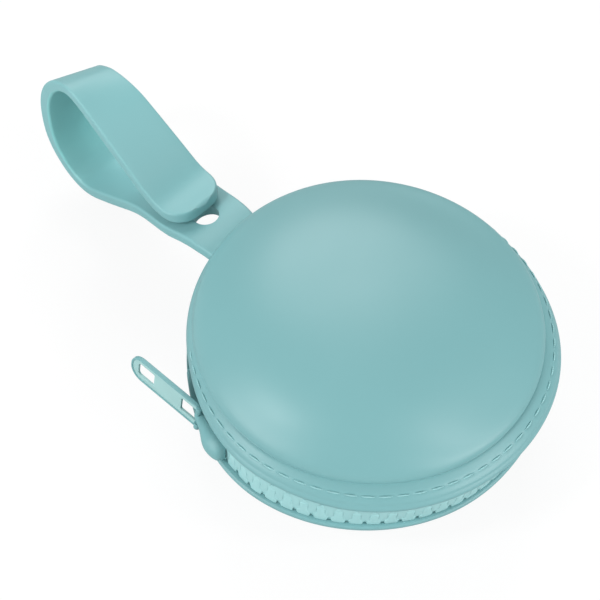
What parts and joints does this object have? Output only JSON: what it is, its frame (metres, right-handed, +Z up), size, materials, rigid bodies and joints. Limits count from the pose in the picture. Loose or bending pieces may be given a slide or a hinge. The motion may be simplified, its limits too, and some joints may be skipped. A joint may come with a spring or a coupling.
{
  "type": "pacifier case",
  "caption": "Round domed zip case for a pacifier, with a stitched rim, a hinged lid, a zip slider with a pull tab and a looped strap that buttons onto itself.",
  "frame": {"origin": "centre of the flat spot that the case rests on", "axes": "+Z up through the middle of the lid, +Y from the case's axis out along the strap, -Y towards the front of the zip"},
  "size_m": [0.089, 0.1499, 0.0443],
  "materials": {
    "moulded_skin": "smooth matt moulded skin",
    "lining_cloth": "plain cloth",
    "zip_tape": "woven tape",
    "zip_plastic": "smooth moulded teeth",
    "enamelled_metal": "satin enamel",
    "strap_silicone": "smooth matt moulded strap",
    "seam_thread": "twisted thread"
  },
  "bodies": {
    "base": {"lower_shell": "moulded_skin", "lower_lining": "lining_cloth", "lower_zip_tape": "zip_tape", "lower_zip_teeth": "zip_plastic", "lower_top_stop": "zip_plastic", "bottom_stop": "zip_plastic", "lower_seam_thread": "seam_thread", "hinge_strip": "moulded_skin", "strap_lower_run": "strap_silicone"},
    "lid": {"upper_shell": "moulded_skin", "upper_lining": "lining_cloth", "upper_zip_tape": "zip_tape", "upper_zip_teeth": "zip_plastic", "upper_top_stop": "zip_plastic", "upper_seam_thread": "seam_thread"},
    "slider": {"slider_body": "enamelled_metal", "slider_cap": "enamelled_metal", "puller_pin": "enamelled_metal"},
    "puller": {"puller_tab": "enamelled_metal"},
    "strap_end": {"strap_upper_run": "strap_silicone", "strap_button": "strap_silicone"}
  },
  "joints": [
    {"name": "lid_hinge", "type": "hinge", "parent": "base", "child": "lid", "pos_m": [0, 0.0424, 0.02387], "axis": [-1, 0, 0], "range_deg": [0, 90], "deforming": ["hinge_strip"]},
    {"name": "slider_travel", "type": "hinge", "parent": "base", "child": "slider", "pos_m": [0, 0, 0.02197], "axis": [0, 0, 1], "range_deg": [0, 202], "deforming": ["upper_zip_teeth", "lower_zip_teeth"]},
    {"name": "puller_swing", "type": "hinge", "parent": "slider", "child": "puller", "pos_m": [-0.04135, 0.01479, 0.02197], "axis": [0, 0, 1], "range_deg": [0, 110]},
    {"name": "strap_unbutton", "type": "hinge", "parent": "base", "child": "strap_end", "pos_m": [0, 0.10512, 0.02247], "axis": [-1, 0, 0], "range_deg": [0, 60], "deforming": ["strap_button"]}
  ]
}
